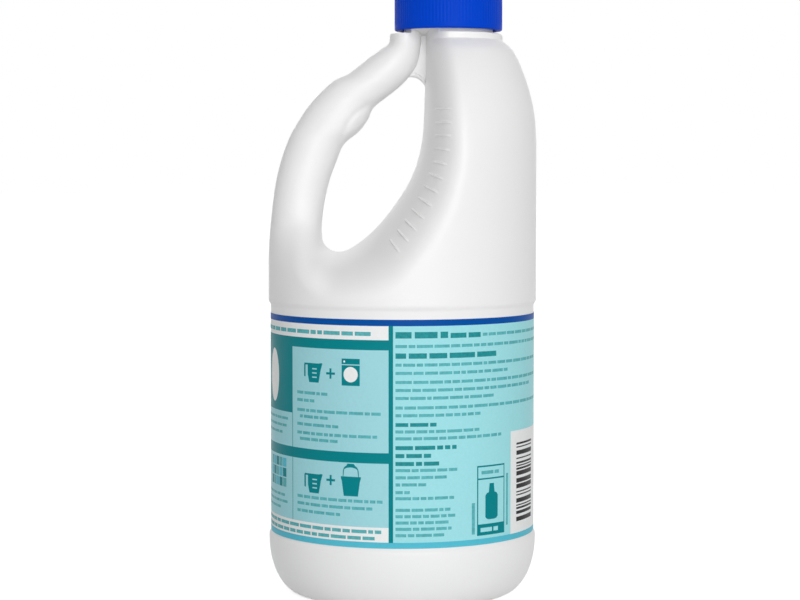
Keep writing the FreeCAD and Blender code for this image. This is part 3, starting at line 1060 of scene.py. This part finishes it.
def film(name, colour):
    """Printed film: even ink with a trace of screen grain and a soft gloss. Fine print is uneven."""
    material, tree, body = shader("film_" + name)
    body.inputs["Specular IOR Level"].default_value = FILM_GLOSS
    spread = FINE_PRINT_SPREAD if name in ("ink", "bold") else FILM_SPREAD
    grain = noise(tree, scale=900, detail=2)
    waves = noise(tree, scale=60, detail=2)
    low = [channel * (1 - spread) for channel in colour]
    high = [min(1.0, channel * (1 + spread)) for channel in colour]
    tree.links.new(tint(tree, grain, low, high), body.inputs["Base Color"])
    tree.links.new(ramp(tree, waves, low=0.34, high=0.44), body.inputs["Roughness"])
    tree.links.new(bump(tree, waves, strength=0.15, distance=0.0003), body.inputs["Normal"])
    return material


def build_bottle():
    bm = thickened(bottle_skin())
    add_neck(bm)
    add_web(bm)
    add_pocket(bm)
    add_marks(bm)
    add_pinch_line(bm)
    bmesh.ops.recalc_face_normals(bm, faces=bm.faces)
    plastic = moulded("white_polyethylene", (0.87, 0.865, 0.865), spread=0.008, roughness=0.42,
                      grain=700, strength=0.12, gloss=0.35)
    return finish_piece("bottle_shell", bm, "bottle", "bottle_body", [plastic])


def build_cap():
    plastic = moulded("blue_polypropylene", (0.001, 0.056, 0.58), spread=0.03, roughness=0.38,
                      grain=900, strength=0.15, gloss=0.03)
    return finish_piece("screw_cap", cap_geometry(), "cap", "cap", [plastic])


def build_label():
    films = [film(name, colour) for name, colour in FILM_COLOURS.items()]
    return finish_piece("printed_label", label_geometry(), "bottle", "label_wrap", films)


def dress_liner():
    """The liner keeps its CAD shape and gets a foamed surface."""
    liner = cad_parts["cap_liner"]
    foam = moulded("liner_foam", (0.82, 0.82, 0.78), spread=0.02, roughness=0.6,
                   grain=1600, strength=0.5, gloss=0.3)
    liner.data.materials.clear()
    liner.data.materials.append(foam)


def seen_by_camera(tree):
    """1 for rays that come straight from the camera, or by way of a mirror or glass."""
    path = tree.nodes.new("ShaderNodeLightPath")
    first = add_node(tree, "ShaderNodeMath", operation="MAXIMUM")
    both = add_node(tree, "ShaderNodeMath", operation="MAXIMUM")
    tree.links.new(path.outputs["Is Camera Ray"], first.inputs[0])
    tree.links.new(path.outputs["Is Glossy Ray"], first.inputs[1])
    tree.links.new(first.outputs[0], both.inputs[0])
    tree.links.new(path.outputs["Is Transmission Ray"], both.inputs[1])
    return both.outputs[0]


def set_world():
    """White behind the bottle, and an even dim light from all round."""
    world = bpy.data.worlds.new("studio")
    bpy.context.scene.world = world
    world.use_nodes = True
    tree = world.node_tree
    tree.nodes.clear()
    ambient = add_node(tree, "ShaderNodeBackground", Color=WHITE, Strength=AMBIENT)
    white = add_node(tree, "ShaderNodeBackground", Color=WHITE, Strength=1.0)
    mix = tree.nodes.new("ShaderNodeMixShader")
    output = tree.nodes.new("ShaderNodeOutputWorld")
    tree.links.new(seen_by_camera(tree), mix.inputs[0])
    tree.links.new(ambient.outputs[0], mix.inputs[1])
    tree.links.new(white.outputs[0], mix.inputs[2])
    tree.links.new(mix.outputs[0], output.inputs["Surface"])


def add_floor():
    """Pale floor that shows white to the camera and keeps the shadow."""
    bpy.ops.mesh.primitive_plane_add(size=FLOOR_SIZE, location=(0, 0, 0))
    floor = bpy.context.object
    floor.name = "floor"
    material = bpy.data.materials.new("pale_floor")
    material.use_nodes = True
    tree = material.node_tree
    tree.nodes.clear()
    paint = add_node(tree, "ShaderNodeBsdfDiffuse", Color=(FLOOR_GREY, FLOOR_GREY, FLOOR_GREY, 1))
    glow = add_node(tree, "ShaderNodeEmission", Color=WHITE, Strength=FLOOR_GLOW)
    both = tree.nodes.new("ShaderNodeAddShader")
    mix = tree.nodes.new("ShaderNodeMixShader")
    output = tree.nodes.new("ShaderNodeOutputMaterial")
    tree.links.new(paint.outputs[0], both.inputs[0])
    tree.links.new(glow.outputs[0], both.inputs[1])
    tree.links.new(seen_by_camera(tree), mix.inputs[0])
    tree.links.new(paint.outputs[0], mix.inputs[1])
    tree.links.new(both.outputs[0], mix.inputs[2])
    tree.links.new(mix.outputs[0], output.inputs["Surface"])
    floor.data.materials.append(material)


def add_lamp(name, place, power):
    """Soft square lamp that looks at the middle of the bottle."""
    lamp = bpy.data.lights.new(name, "AREA")
    lamp.size = LAMP_SIZE
    lamp.energy = power
    holder = bpy.data.objects.new(name, lamp)
    holder.location = place
    holder.rotation_euler = (Vector(LAMP_AIM) - Vector(place)).to_track_quat("-Z", "Y").to_euler()
    bpy.context.scene.collection.objects.link(holder)


def set_camera():
    """Level with the hand hole, pitched down a little, as the photograph's perspective shows."""
    camera = bpy.data.cameras.new("camera")
    camera.sensor_width = 36
    camera.lens = CAMERA_LENS
    holder = bpy.data.objects.new("camera", camera)
    holder.location = CAMERA_PLACE
    holder.rotation_euler = (math.radians(90 - CAMERA_PITCH), 0, 0)
    bpy.context.scene.collection.objects.link(holder)
    bpy.context.scene.camera = holder


set_camera()
set_world()
add_floor()
for name, place, power in LAMPS:
    add_lamp(name, place, power)
build_bottle()
build_cap()
build_label()
dress_liner()
bpy.context.scene.view_settings.view_transform = "Standard"
